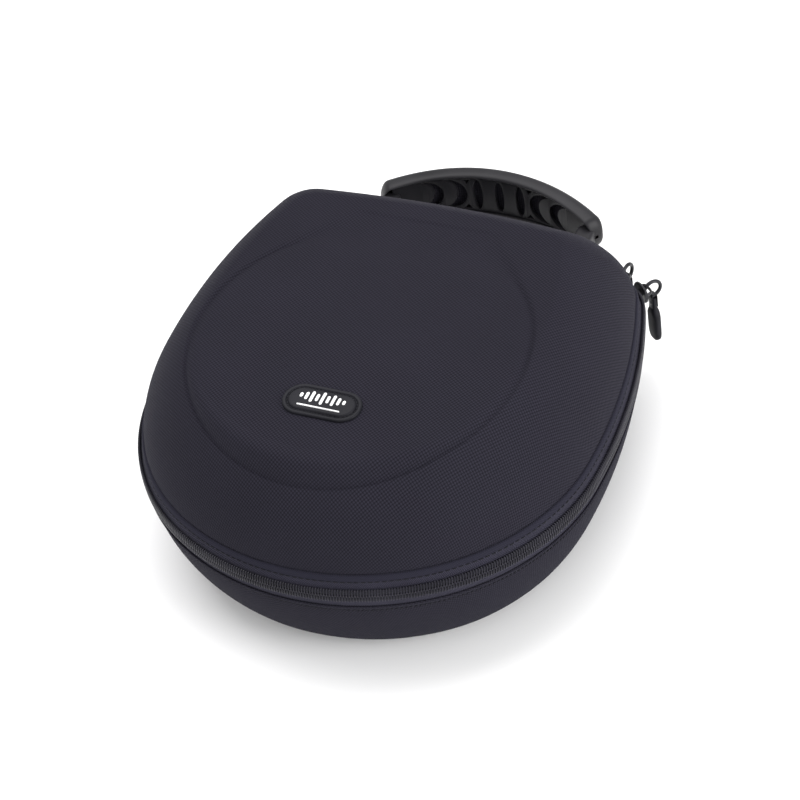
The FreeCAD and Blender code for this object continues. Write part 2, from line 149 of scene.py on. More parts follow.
# blocks as centre, half sizes and roundness, each as (along, up, out)
BACK_PLATE = ((0, 0, -5.0), (4.5, 4.7, 0.65), 0.4)
WEB = ((0, 0, -1.5), (2.7, 0.3, 3.7), 0.3)
PULL_TOP, PULL_END = 1.4, 30.0             # below the ring's lowest point
PULL_WAIST, PULL_HALF = 2.2, 4.75          # half widths
CLIP_GAP, CLIP_LENGTH, CLIP_HALF = 1.55, 7.2, (1.9, 0.3)
RIVET_DOWN, RIVET_HALF = 4.6, (1.0, 1.0, 0.45)


# ---- camera, light and floor
CAMERA_TURN = (28.06, 43.87, -9.0)          # azimuth, elevation, roll in degrees
CAMERA_AIM = (5.6, CASE_FRONT + 132.3, ZIP)
CAMERA_DISTANCE = 1.3838
CAMERA_LENS = 125.6

# name, place, aim, size (all in metres), power in watts, green against red and blue
LIGHTS = (
    ("overhead", (-0.35, 0.35, 1.5), (0, 0, 0.05), (1.6, 1.2), 22, 0.99),
    ("left_fill", (-1.3, -0.4, 0.7), (0, 0, 0.05), (0.9, 0.9), 0.5, 1.0),
    ("right_fill", (1.4, -0.2, 0.55), (0, 0, 0.06), (0.7, 0.9), 16, 1.0),
    ("front_fill", (0.3, -1.6, 0.8), (0, 0, 0.05), (1.2, 0.8), 6, 1.0),
)
WORLD_STRENGTH = 0.85
FLOOR_REACH = 6000.0


def make_camera():
    azimuth, elevation, roll = np.radians(CAMERA_TURN)
    back = Vector((
        math.sin(azimuth) * math.cos(elevation),
        -math.cos(azimuth) * math.cos(elevation),
        math.sin(elevation),
    ))
    level = Vector((math.cos(azimuth), math.sin(azimuth), 0))
    upright = back.cross(level)
    right = math.cos(roll) * level + math.sin(roll) * upright
    up = math.cos(roll) * upright - math.sin(roll) * level
    camera = bpy.data.objects.new("camera", bpy.data.cameras.new("camera"))
    turn = Matrix((right, up, back)).transposed().to_4x4()
    camera.matrix_world = Matrix.Translation(Vector(CAMERA_AIM) * MM + back * CAMERA_DISTANCE) @ turn
    camera.data.sensor_width = 36.0
    camera.data.lens = CAMERA_LENS
    camera.data.clip_start = 0.05
    bpy.context.collection.objects.link(camera)
    bpy.context.scene.camera = camera


def area_light(name, place, target, size, power, green):
    light = bpy.data.lights.new(name, "AREA")
    light.shape = "RECTANGLE"
    light.size, light.size_y = size
    light.energy = power
    light.color = (1.0, green, 1.0)
    obj = bpy.data.objects.new(name, light)
    obj.location = place
    obj.rotation_euler = (Vector(target) - Vector(place)).to_track_quat("-Z", "Y").to_euler()
    bpy.context.collection.objects.link(obj)


def make_stage():
    for light in LIGHTS:
        area_light(*light)
    world = bpy.data.worlds.new("studio")
    world.use_nodes = True
    background = world.node_tree.nodes["Background"].inputs
    background["Color"].default_value = (1, 1, 1, 1)
    background["Strength"].default_value = WORLD_STRENGTH
    bpy.context.scene.world = world
    bpy.context.scene.view_settings.view_transform = "Standard"
    corners = [(x * FLOOR_REACH, y * FLOOR_REACH, 0) for x, y in ((-1, -1), (1, -1), (1, 1), (-1, 1))]
    floor = mesh_object("floor", corners, [(0, 1, 2, 3)])
    graph = Graph("floor")
    graph.shade((0.93, 0.93, 0.93), 0.75)
    grain = graph.noise(18.0, 3.0, graph.coordinates("Object"))
    graph.bump(grain, 0.02, 0.001)
    floor.data.materials.append(graph.material)


# ---- materials
class Graph:
    """A material and short calls for its nodes."""

    def __init__(self, name):
        self.material = bpy.data.materials.new(name)
        self.material.use_nodes = True
        self.tree = self.material.node_tree
        self.shader = self.tree.nodes["Principled BSDF"]

    def node(self, kind, **values):
        node = self.tree.nodes.new(kind)
        for key, value in values.items():
            setattr(node, key, value)
        return node

    def join(self, source, target):
        if isinstance(source, (int, float, tuple)):
            target.default_value = source
        else:
            self.tree.links.new(source, target)

    def shade(self, colour, roughness, specular=0.5, **values):
        self.shader.inputs["Specular IOR Level"].default_value = specular
        self.shader.inputs["Base Color"].default_value = (*colour, 1)
        self.shader.inputs["Roughness"].default_value = roughness
        for key, value in values.items():
            self.shader.inputs[key.replace("_", " ").title()].default_value = value

    def math(self, operation, a, b=0.0):
        node = self.node("ShaderNodeMath", operation=operation)
        self.join(a, node.inputs[0])
        self.join(b, node.inputs[1])
        return node.outputs[0]

    def blend(self, a, share_a, b, share_b):
        """Weighted sum of two values."""
        return self.math("ADD", self.math("MULTIPLY", a, share_a), self.math("MULTIPLY", b, share_b))

    def coordinates(self, kind):
        return self.node("ShaderNodeTexCoord").outputs[kind]

    def cloth_axes(self, turn=0.0):
        """The two thread directions, in millimetres, from the piece's own cloth map."""
        turned = self.node("ShaderNodeVectorRotate", rotation_type="Z_AXIS")
        self.join(self.node("ShaderNodeUVMap", uv_map="cloth").outputs[0], turned.inputs["Vector"])
        turned.inputs["Angle"].default_value = math.radians(turn)
        parts = self.node("ShaderNodeSeparateXYZ")
        self.join(turned.outputs[0], parts.inputs[0])
        return parts.outputs[0], parts.outputs[1]

    def noise(self, scale, detail, vector):
        node = self.node("ShaderNodeTexNoise")
        node.inputs["Scale"].default_value = scale
        node.inputs["Detail"].default_value = detail
        self.join(vector, node.inputs["Vector"])
        return node.outputs["Fac"]

    def ramp(self, value, low, high, low_colour, high_colour):
        node = self.node("ShaderNodeValToRGB")
        stops = zip(node.color_ramp.elements, (low, high), (low_colour, high_colour))
        for stop, position, colour in stops:
            stop.position = position
            stop.color = (*colour, 1)
        self.join(value, node.inputs[0])
        return node.outputs[0]

    def colour(self, source):
        self.join(source, self.shader.inputs["Base Color"])

    def roughness(self, source, swing, least):
        """Gloss that wanders with a slow noise."""
        wander = self.math("ADD", self.math("MULTIPLY", source, swing), least)
        self.join(wander, self.shader.inputs["Roughness"])

    def bump(self, height, strength, distance):
        node = self.node("ShaderNodeBump")
        node.inputs["Strength"].default_value = strength
        node.inputs["Distance"].default_value = distance
        self.join(height, node.inputs["Height"])
        self.join(node.outputs[0], self.shader.inputs["Normal"])

    def thread(self, along, across, pitch, flip):
        """Height of one set of threads: round across, passing over and under the other set."""
        wide = self.math("DIVIDE", across, pitch)
        row = self.math("FLOOR", self.math("ADD", wide, 0.5))
        crown = self.math("ABSOLUTE", self.math("COSINE", self.math("MULTIPLY", wide, math.pi)))
        step = self.math("ADD", self.math("DIVIDE", along, pitch), row)
        wave = self.math("COSINE", self.math("MULTIPLY", step, math.pi))
        over = self.math("ADD", self.math("MULTIPLY", wave, -0.5 if flip else 0.5), 0.5)
        return self.math("MULTIPLY", self.math("POWER", crown, 0.6), over)

    def weave(self, pitch, turn=0.0):
        u, v = self.cloth_axes(turn)
        return self.math("MAXIMUM", self.thread(v, u, pitch, False), self.thread(u, v, pitch, True))

    def herringbone(self, pitch, band):
        """Slanting ribs that change direction in every band."""
        u, v = self.cloth_axes()
        slant = self.math("PINGPONG", v, band)
        phase = self.math("DIVIDE", self.math("ADD", u, slant), pitch)
        return self.math("ABSOLUTE", self.math("SINE", self.math("MULTIPLY", phase, math.pi)))


def woven(name, pitch, turn, low, high, depth, strength=0.8, sheen=0.012, fuzz=0.3):
    """Cloth with a plain weave: painted shade in the gaps between threads, lighter thread tops, slow uneven
    tone, fine fibre.
    """
    graph = Graph(name)
    graph.shade(high, 0.82, 0.05, sheen_weight=sheen, sheen_roughness=0.45, sheen_tint=(0.7, 0.72, 1.0, 1))
    weave = graph.weave(pitch, turn)
    place = graph.coordinates("Object")
    slow = graph.noise(28.0, 3.0, place)
    fibre = graph.noise(2600.0, 2.0, place)
    mixed = graph.blend(weave, 1.0 - fuzz, fibre, fuzz)
    # painted shade: colour runs from the dark gap colour in the weave's hollows to the thread colour on its
    # tops, with slow random tone mixed in
    graph.colour(graph.ramp(graph.blend(mixed, 0.8, slow, 0.12), 0.12, 0.8, low, high))
    graph.roughness(slow, 0.15, 0.68)
    graph.bump(mixed, strength, depth)
    return graph.material


def tape_cloth():
    graph = Graph("zip_tape")
    graph.shade((0.03, 0.03, 0.04), 0.8, 0.1, sheen_weight=0.03)
    ribs = graph.herringbone(1.1, 3.4)
    slow = graph.noise(40.0, 2.0, graph.coordinates("Object"))
    tone = graph.blend(ribs, 0.75, slow, 0.3)
    # painted shade: the herringbone ribs' grooves take the near-black colour and their crests the lighter
    # one, with slow random tone mixed in
    graph.colour(graph.ramp(tone, 0.1, 0.95, (0.002, 0.002, 0.004), (0.038, 0.036, 0.055)))
    graph.roughness(slow, 0.15, 0.7)
    graph.bump(ribs, 0.8, 0.00025)
    return graph.material


def moulded(name, colour, roughness, grain, depth, strength, specular, metallic):
    """Moulded plastic, rubber or coated metal: fine grain, slightly uneven gloss and tone."""
    graph = Graph(name)
    graph.shade(colour, roughness, specular, metallic=metallic)
    place = graph.coordinates("Object")
    slow = graph.noise(35.0, 4.0, place)
    fine = graph.noise(grain, 3.0, place)
    paler = tuple(min(1.0, c * 1.3 + 0.004) for c in colour)
    darker = tuple(c * 0.75 for c in colour)
    graph.colour(graph.ramp(slow, 0.3, 0.7, darker, paler))
    graph.roughness(slow, 0.16, roughness - 0.08)
    graph.bump(fine, strength, depth)
    return graph.material


# name: weave pitch in mm, turn in degrees, gap colour (painted shade between the threads), thread colour,
# bump depth in metres
CLOTHS = {
    "shell_fabric": (1.42, 35.0, (0.0006, 0.0005, 0.0012), (0.025, 0.0235, 0.034), 0.00030),
    "binding": (0.8, 45.0, (0.004, 0.004, 0.007), (0.026, 0.025, 0.038), 0.00015),
    "webbing": (1.2, 0.0, (0.005, 0.005, 0.007), (0.034, 0.032, 0.042), 0.0003),
    "lining": (0.9, 0.0, (0.02, 0.02, 0.023), (0.055, 0.055, 0.062), 0.0001, 0.4, 0.6, 0.5),
    "elastic": (1.0, 90.0, (0.012, 0.012, 0.014), (0.05, 0.05, 0.055), 0.0003),
}
# name: colour, roughness, grain, bump depth in metres, bump strength, specular, metallic
MOULDED = {
    "net_cord": ((0.03, 0.03, 0.034), 0.7, 1500.0, 0.0001, 0.3, 0.5, 0.0),
    "zip_teeth": ((0.012, 0.011, 0.018), 0.3, 900.0, 0.00002, 0.1, 0.2, 0.0),
    "thread": ((0.014, 0.014, 0.018), 0.6, 1800.0, 0.0001, 0.3, 0.1, 0.0),
    "soft_rubber": ((0.006, 0.006, 0.009), 0.5, 1400.0, 0.00004, 0.25, 0.15, 0.0),
    "badge_mark": ((0.8, 0.8, 0.8), 0.55, 900.0, 0.00002, 0.1, 0.5, 0.0),
    "grip": ((0.013, 0.0125, 0.015), 0.42, 1100.0, 0.00004, 0.2, 0.2, 0.0),
    "black_metal": ((0.02, 0.02, 0.023), 0.32, 700.0, 0.00002, 0.15, 0.3, 0.6),
    "eyelet": ((0.3, 0.3, 0.31), 0.3, 700.0, 0.00002, 0.15, 0.5, 1.0),
}


# materials by name
MATERIALS = {}


def make_materials():
    MATERIALS.update({name: woven(name, *values) for name, values in CLOTHS.items()})
    MATERIALS.update({name: moulded(name, *values) for name, values in MOULDED.items()})
    MATERIALS["zip_tape"] = tape_cloth()


# ---- mesh making
def flat_at(height, point):
    """Plan positions or directions with one height for all."""
    return np.column_stack([point, np.full(len(point), float(height))])


def circle(count):
    """Evenly spaced angles once round."""
    return np.linspace(0, 2 * math.pi, count, endpoint=False)


def soft(value, power):
    """Signed power: turns a sine or cosine into the side of a rounded block."""
    return np.sign(value) * np.abs(value) ** power


def together(blocks):
    """Several skins as one list of points and faces."""
    points, faces = [], []
    for block, block_faces in blocks:
        faces += [tuple(len(points) + i for i in face) for face in block_faces]
        points += list(block)
    return points, faces


def grid_faces(rows, columns, wrap_rows=False, wrap_columns=False, first=0):
    faces = []
    for i in range(rows if wrap_rows else rows - 1):
        for j in range(columns if wrap_columns else columns - 1):
            a, b = i * columns, ((i + 1) % rows) * columns
            k = (j + 1) % columns
            faces.append((first + a + j, first + a + k, first + b + k, first + b + j))
    return faces


def mesh_object(name, points, faces):
    """New object in metres from points in millimetres."""
    mesh = bpy.data.meshes.new(name)
    mesh.from_pydata((np.asarray(points, float).reshape(-1, 3) * MM).tolist(), [], faces)
    piece = bpy.data.objects.new(name, mesh)
    bpy.context.collection.objects.link(piece)
    return piece


def add_piece(name, points, faces, material, body, replaces=(), cloth=None, sharp=40.0, slot=None):
    """Smooth, closed piece with a material, riding on a body if one is given."""
    piece = mesh_object(name, points, faces)
    mesh = piece.data
    if cloth is not None:
        layer = mesh.uv_layers.new(name="cloth")
        corner = np.zeros(len(mesh.loops), np.int32)
        mesh.loops.foreach_get("vertex_index", corner)
        layer.data.foreach_set("uv", np.asarray(cloth, np.float32).reshape(-1, 2)[corner].ravel())
    mesh.validate()
    mesh.polygons.foreach_set("use_smooth", [True] * len(mesh.polygons))
    mesh.set_sharp_from_angle(angle=math.radians(sharp))
    mesh.materials.append(MATERIALS[material])
    outward(piece)
    if body:
        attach(piece, body)
    if replaces:
        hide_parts(*replaces)
    return piece


def outward(piece):
    """Turn a closed mesh's faces to look outwards."""
    work = bmesh.new()
    work.from_mesh(piece.data)
    bmesh.ops.recalc_face_normals(work, faces=work.faces)
    work.to_mesh(piece.data)
    work.free()


def sweep(sections):
    """Closed skin over sections that each loop round, with a flat face at both ends."""
    sections = np.asarray(sections, float)
    count, around = sections.shape[:2]
    faces = grid_faces(count, around, wrap_columns=True)
    faces.append(tuple(range(around)))
    faces.append(tuple((count - 1) * around + j for j in range(around)))
    return sections.reshape(-1, 3), faces


def tubes(paths, side, up, radii, around=6):
    """Many short round rods: paths, side and up are (rods, steps, 3)."""
    angles = circle(around)
    radii = np.asarray(radii, float)[None, :, None, None]
    ring = np.cos(angles)[:, None] * side[:, :, None, :] + np.sin(angles)[:, None] * up[:, :, None, :]
    points = paths[:, :, None, :] + radii * ring
    rods, steps = paths.shape[:2]
    faces = []
    for m in range(rods):
        first = m * steps * around
        faces += grid_faces(steps, around, wrap_columns=True, first=first)
        faces.append(tuple(first + j for j in range(around)))
        faces.append(tuple(first + (steps - 1) * around + j for j in range(around)))
    return points.reshape(-1, 3), faces


def rods(paths, side, up, radii):
    """Tubes from lists whose items hold one step of every rod."""
    return tubes(*[np.stack(group, 1) for group in (paths, side, up)], radii)


def headings(path):
    """Unit direction at each point of one path, or of many."""
    step = np.gradient(path, axis=-2)
    return step / np.linalg.norm(step, axis=-1)[..., None]


def domed(rows, first_centre, last_centre):
    """Rings of points closed by a single point at both ends."""
    count, around = rows.shape[:2]
    points = np.concatenate([rows.reshape(-1, 3), [first_centre, last_centre]])
    faces = grid_faces(count, around, wrap_columns=True)
    top, bottom = count * around, count * around + 1
    last = (count - 1) * around
    for j in range(around):
        faces.append((top, (j + 1) % around, j))
        faces.append((bottom, last + j, last + (j + 1) % around))
    return points, faces


def superquad(centre, half, power=0.35, around=40, rows=20):
    """Rounded block."""
    theta = np.linspace(-math.pi / 2, math.pi / 2, rows)[1:-1, None]
    phi = np.linspace(-math.pi, math.pi, around, endpoint=False)[None, :]
    x = half[0] * soft(np.cos(theta), power) * soft(np.cos(phi), power)
    y = half[1] * soft(np.cos(theta), power) * soft(np.sin(phi), power)
    z = half[2] * soft(np.sin(theta), power) * np.ones_like(phi)
    grid = np.stack([x, y, z], -1) + np.array(centre)
    pole = np.array([0, 0, half[2]])
    return domed(grid, centre - pole, centre + pole)


# ---- plan outline and shells
def plan(s, inset=0.0, roundness=0.0):
    """Point and outward direction at arc length s round the outline, from the front centre."""
    s = (np.asarray(s, float) + HALF) % (2 * HALF) - HALF
    side = np.where(s < 0, -1.0, 1.0)
    run = np.abs(s)
    index = np.clip(np.searchsorted(ARC_STARTS, run, side="right") - 1, 0, 4)
    angle = ENDS[index] + (run - ARC_STARTS[index]) / RADII[index]
    radii = (1 - roundness) * RADII + roundness * CIRCLE - inset
    front = (1 - roundness) * CASE_FRONT + roundness * (CASE_MIDDLE - CIRCLE) + inset
    centres = [np.array([0.0, front + radii[0]])]
    for i in range(1, 5):
        step = np.array([math.cos(ENDS[i]), math.sin(ENDS[i])])
        centres.append(centres[-1] + (radii[i - 1] - radii[i]) * step)
    centres = np.array(centres)[index]
    point = centres + radii[index][:, None] * np.stack([np.cos(angle), np.sin(angle)], -1)
    normal = np.stack([side * np.cos(angle), np.sin(angle)], -1)
    point[:, 0] *= side
    return point, normal


def ring(s, inset, height, roundness=0.0):
    return flat_at(height, plan(s, inset, roundness)[0])


def smoothstep(value, low, high):
    t = np.clip((value - low) / (high - low), 0, 1)
    return t * t * (3 - 2 * t)


def shoulder(t, seam, crown, shape, skin):
    """Inset, height and roundness of the shoulder at t, from the seam to the crown."""
    inset, depth, power, roundness = shape
    inward = math.copysign(skin, crown - seam)
    run = depth * (1 - (1 - t ** power) ** (1 / power))
    return inset + skin + run, seam + (crown - inward - seam) * t, roundness * t * t


def raise_panel(points):
    """Lift the raised round panel of the lid, fading into the crown towards the back."""
    x, back, z = points[..., 0], points[..., 1] - PANEL_CENTRE, points[..., 2]
    stretch = 1 - 0.0055 * np.clip(back - 57.0, 0, 33.0)   # the circle reaches further at the back
    away = np.hypot(x, back * stretch)
    swell = 0.9 * np.clip(1 - (away / 100.0) ** 2, 0, 1) ** 2
    roll = 1.4
    bevel = roll * np.logaddexp(0, (away - PANEL_EDGE) / roll) * PANEL_SLOPE
    steeper = 0.3 * np.clip(away - PANEL_EDGE - 6.0, 0, None) ** 2
    fade = 1.7 * smoothstep(back, 50.0, 90.0) + 2.0 * np.clip(back - 88.0, 0, None)
    top = PANEL_TOP + 1.1 - fade - bevel - steeper
    softness = 0.12                                         # rounds the line where the two surfaces meet
    high = 0.5 * (z + top + np.sqrt((z - top) ** 2 + softness ** 2))
    high = high - PRESSED_DEPTH * np.exp(-((z - top) / PRESSED_WIDTH) ** 2)
    out = points.copy()
    out[..., 2] = high + swell
    return out


def crease(points, seed):
    """Slight unevenness of laminated cloth, under a fifth of a millimetre."""
    rng = np.random.default_rng(seed)
    total = np.zeros(points.shape[:-1])
    for _ in range(10):
        direction = rng.normal(size=3)
        direction /= np.linalg.norm(direction)
        wave = rng.uniform(0.05, 0.18)
        total += np.sin(points @ direction * wave + rng.uniform(0, 6.28)) / 10
    return total


def lid_height(x, y):
    """Height of the lid's flat top at a plan position."""
    flat = np.stack([x, y, np.full_like(x, LID_CROWN)], -1)
    return raise_panel(flat)[..., 2]


def shell_rows(s, body, skin, steps, cap_steps):
    """Rings from the middle of the crown to the seam, and their cloth map."""
    _, *profile, middle = HALVES[body]
    rows, cloth = [], []
    inset, height, roundness = shoulder(1.0, *profile, skin)
    rim, normal = plan(s, inset, roundness)
    for f in np.sin(np.linspace(0.02, math.pi / 2, cap_steps, endpoint=False)):
        flat = middle + (rim - middle) * f
        rows.append(flat_at(height, flat))
        cloth.append(flat)
    travel = 0.0
    last = None
    for t in steps:
        inset, height, roundness = shoulder(t, *profile, skin)
        if last is not None:
            travel += math.hypot(inset - last[0], height - last[1])
        last = (inset, height)
        rows.append(ring(s, inset, height, roundness))
        cloth.append(rim + normal * travel)
    return np.array(rows), np.array(cloth), travel, rim, normal


def crown_steps(count, power):
    """Values of t from 1 down to 0, evenly spaced along the shoulder's curve."""
    angle = np.linspace(math.pi / 2, 0, count)
    return np.sin(angle) ** (2 / power)


def slope_length(rows):
    """Distance over the surface from the first ring to each ring, for every column."""
    steps = np.linalg.norm(np.diff(rows, axis=0), axis=2)
    return np.concatenate([np.zeros((1, rows.shape[1])), np.cumsum(steps, axis=0)])


# rings along the shoulder, rings across the crown, and every how many the inner face keeps
RAISED_ROWS, PLAIN_ROWS = (150, 66, 10), (40, 30, 6)
CREASE_DEPTH, CREASE_SEEDS = 0.18, {"lid": 9, "base": 10}


def make_shell(body, lip):
    """Outer cover, rolled lip and inner face of one half, as one closed skin."""
    _, seam, _, shape, middle = HALVES[body]
    s = np.linspace(-HALF, HALF, 480, endpoint=False)
    raised = body == "lid"
    count, cap, thinned = RAISED_ROWS if raised else PLAIN_ROWS
    steps = crown_steps(count, shape[2])
    outer, cloth, travel, rim, normal = shell_rows(s, body, 0.0, steps, cap)
    if raised:
        plain = outer
        outer = raise_panel(outer)
        extra = slope_length(outer) - slope_length(plain)
        away = rim - middle
        away /= np.linalg.norm(away, axis=1)[:, None]
        cloth = cloth + extra[..., None] * away
    toward = outer - np.array([middle[0], middle[1], seam])
    toward /= np.linalg.norm(toward, axis=-1)[..., None]
    outer = outer + toward * (CREASE_DEPTH * crease(outer, CREASE_SEEDS[body]))[..., None]
    edge, edge_cloth = [], []
    last = (shape[0], seam)
    for inset, height in lip:
        travel += math.hypot(inset - last[0], height - last[1])
        last = (inset, height)
        edge.append(ring(s, inset, height))
        edge_cloth.append(rim + normal * travel)
    inner, inner_cloth, *_ = shell_rows(s, body, WALL, steps[::thinned], 4)
    rows = np.concatenate([outer, edge, inner[::-1]])
    cloth = np.concatenate([cloth, edge_cloth, inner_cloth[::-1]])
    centres = [np.append(middle, outer[0, :, 2].mean()), np.append(middle, inner[0, 0, 2])]
    points, faces = domed(rows, *centres)
    cloth = np.concatenate([cloth.reshape(-1, 2), [middle, middle]])
    add_piece(body + "_cover", points, faces, "shell_fabric", body, (body + "_shell",), cloth)


def make_lining(body):
    """Thin brushed lining, closed at its rim."""
    shape, middle = HALVES[body][3:]
    s = np.linspace(-HALF, HALF, 260, endpoint=False)
    steps = crown_steps(26, shape[2])
    skin = WALL + 0.25
    outer, *_ = shell_rows(s, body, skin, steps, 4)
    inner, cloth, *_ = shell_rows(s, body, skin + LINING, steps, 12)
    rows = np.concatenate([outer, inner[::-1]])
    maps = np.concatenate([np.zeros(outer.shape[:2] + (2,)), cloth[::-1]])
    centres = [np.append(middle, outer[0, 0, 2]), np.append(middle, inner[0, 0, 2])]
    points, faces = domed(rows, *centres)
    maps = np.concatenate([maps.reshape(-1, 2), [middle, middle]])
    add_piece(body + "_plush", points, faces, "lining", body, (body + "_lining",), maps)


# ---- bands along the zip
def band(name, span, section, material, body, replaces=(), closed=False, step=2.2):
    """Strip that follows the outline: section is a closed list of (inset, height)."""
    count = int((span[1] - span[0]) / step)
    s = np.linspace(span[0], span[1], count, endpoint=not closed)
    loops = np.stack([ring(s, inset, height) for inset, height in section], 1)
    lengths = [0.0]
    for a, b in zip(section, section[1:]):
        lengths.append(lengths[-1] + math.hypot(b[0] - a[0], b[1] - a[1]))
    cloth = np.stack(np.meshgrid(s, lengths, indexing="ij"), -1)
    if closed:
        points = loops.reshape(-1, 3)
        faces = grid_faces(count, len(section), wrap_rows=True, wrap_columns=True)
    else:
        points, faces = sweep(loops)
    return add_piece(name, points, faces, material, body, replaces, cloth)


def tape_inset(height):
    """Inset of the tape's outer face at a height."""
    side, seam, _, shape, _ = HALVES["lid" if height > ZIP else "base"]
    near = ZIP + side * TAPE_START
    return TAPE_INSET + (shape[0] - TAPE_INSET) * (height - near) / (seam - near)


def make_tape(body):
    side, seam, *_ = HALVES[body]
    heights = np.linspace(ZIP + side * TAPE_START, seam - side * 0.9, 6)
    face = [(tape_inset(h), h) for h in heights]
    back = [(tape_inset(h) + TAPE_THICK, h) for h in heights[::-1]]
    span = (-ZIP_END + 0.3, ZIP_END - 0.3)
    band(body + "_tape", span, face + back, "zip_tape", body, (body + "_zip_tape",))


def make_teeth(body):
    """One row of the coil: slanted loops whose heads mesh with the other row's."""
    side = HALVES[body][0]
    count = int(2 * ZIP_END / TOOTH_PITCH) - 2
    s = (np.arange(count) - (count - 1) / 2) * TOOTH_PITCH + (0.0 if side > 0 else TOOTH_PITCH / 2)
    paths, tangents, ups = [], [], []
    for k, (rise, depth, _) in enumerate(TOOTH):
        point, normal = plan(s + TOOTH_LEAN * rise * side, depth + TOOTH_OUT)
        paths.append(flat_at(ZIP + side * rise, point))
        tangents.append(np.column_stack([-normal[:, 1], normal[:, 0], np.zeros(count)]))
        before, after = TOOTH[max(k - 1, 0)], TOOTH[min(k + 1, len(TOOTH) - 1)]
        along = np.array([before[1] - after[1], side * (after[0] - before[0])])
        along /= np.linalg.norm(along)
        ups.append(flat_at(-along[0], normal * along[1]))
    points, faces = rods(paths, tangents, ups, [radius for _, _, radius in TOOTH])
    add_piece(body + "_coil", points, faces, "zip_teeth", body, (body + "_zip_chain",))


def make_core(body):
    """Filler cord between the coil and the tape that it is sewn to."""
    side = HALVES[body][0]
    section = []
    for angle in circle(14):
        inset = TAPE_INSET - CORE_HALF[0] + 0.1 + CORE_HALF[0] * math.cos(angle)
        section.append((inset, ZIP + side * (CORE_RISE + CORE_HALF[1] * math.sin(angle))))
    span = (-ZIP_END + 1.5, ZIP_END - 1.5)
    band(body + "_coil_core", span, section, "thread", body)


def stitches(body, inset, height, replaces=(), pitch=STITCH_PITCH, length=STITCH_LENGTH, slant=0.0):
    """A row of thread stitches lying on the cloth, each diving in at both ends."""
    count = int(2 * HALF / pitch)
    start = np.arange(count) * pitch - HALF
    paths, side, up = [], [], []
    for f, raised, _ in STITCH:
        point, normal = plan(start + f * length, inset - raised * STITCH_LIFT)
        paths.append(flat_at(height + slant * (f - 0.5), point))
        side.append(np.tile([0.0, 0.0, 1.0], (count, 1)))
        up.append(flat_at(0, normal))
    points, faces = rods(paths, side, up, [radius for _, _, radius in STITCH])
    add_piece(body + "_stitches", points, faces, "thread", body, replaces)


def rounded_strip(low, high):
    """Closed section of a folded strip that follows the tape and bulges outwards."""
    face, back = [], []
    for f in np.linspace(0, 1, 7):
        height = low + (high - low) * f
        out = BINDING_BULGE * (1 - (2 * f - 1) ** 4) ** 0.5 if 0 < f < 1 else 0.0
        inset = tape_inset(height) - BINDING_OUT
        face.append((inset - out, height))
        back.append((inset + BINDING_THICK, height))
    return face + back[::-1]


def make_zip():
    for make in (make_tape, make_teeth, make_core):
        for body in HALVES:
            make(body)
    full = (-HALF, HALF)
    top = LID_SEAM - 0.85
    strip = rounded_strip(top - BINDING_REACH, top)
    band("lid_binding", full, strip, "binding", "lid", ("lid_piping",), closed=True)
    seam_height = top - BINDING_REACH - 0.35
    stitches("lid", tape_inset(seam_height), seam_height)
    stitches("base", BASE_SHAPE[0] + 0.05, BASE_SEAM, ("base_piping",), pitch=2.3, length=1.7, slant=1.5)
    for body, (side, seam, _, shape, _) in HALVES.items():
        centre = shape[0] + WALL + LINING * 0.6
        loop = [(centre + 1.5 * math.cos(a), seam - side * 0.2 + math.sin(a)) for a in circle(12)]
        band(body + "_rim_binding", full, loop, "binding", body, closed=True)


def make_spine():
    """Fabric hinge between the ends of the zip: one strip sewn to both shells."""
    low, high = BASE_SEAM + 0.7, LID_SEAM - 0.95
    face, back = [], []
    for f in np.linspace(0, 1, 25):
        height = low + (high - low) * f
        straight = BASE_SHAPE[0] + (LID_SHAPE[0] - BASE_SHAPE[0]) * f
        bow = straight - 0.1 - SPINE_BOW * math.sin(math.pi * f) ** 0.8
        face.append((bow, height))
        back.append((bow + SPINE_THICK, height))
    span = (ZIP_END + 0.3, 2 * HALF - ZIP_END - 0.3)
    replaced = ("lid_hinge_strip", "base_hinge_strip")
    spine = band("spine", span, face + back[::-1], "webbing", None, replaced, step=1.5)
    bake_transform(spine)


# ---- handle
def grip_point(x, out, height):
    """Point on the curved grip: x across at the inner face, out from it, height from the zip."""
    turn = np.arcsin(np.clip(x / GRIP_INNER, -1, 1))
    radius = GRIP_INNER + out
    return np.stack([radius * np.sin(turn), GRIP_CENTRE + radius * np.cos(turn), ZIP + height], -1)


def grip_half(x):
    """Half the grip's height at x."""
    return GRIP_END + (GRIP_MIDDLE - GRIP_END) * (1 - (x / GRIP_SPAN) ** 2)


def make_grip_cover():
    """Moulded cover: rounded outside, rolled rims above and below, open towards the hand."""
    half_section = [
        (10.5, 0.0), (10.45, 0.3), (10.2, 0.55), (9.7, 0.74), (8.8, 0.88), (7.5, 0.965), (6.0, 0.995),
        (4.2, 1.0), (2.4, 0.99), (1.1, 0.965), (0.3, 0.925), (0.0, 0.885), (0.25, 0.85), (0.9, 0.83),
        (2.0, 0.825), (4.1, 0.82), (6.2, 0.80), (6.25, 0.4),
    ]
    section = np.array(half_section + [(n, -h) for n, h in half_section[:0:-1]])
    ends, rounded = GRIP_SPAN - 7.0, 4.0
    tip = ends + rounded * np.sin(np.linspace(0, math.pi / 2, 10)[1:])
    loops = []
    for x in np.concatenate([-tip[::-1], np.linspace(-ends, ends, 90), tip]):
        over = max(0.0, abs(x) - ends) / rounded
        close = max(math.sqrt(max(0.0, 1 - over ** 2)), 0.12)
        out = 5.0 + (section[:, 0] - 5.0) * (0.35 + 0.65 * close)
        high = section[:, 1] * grip_half(x) * close
        loops.append(grip_point(np.full(len(section), x), out, high))
    add_piece("grip_cover", *sweep(loops), "grip", "handle", ("handle_cover",))


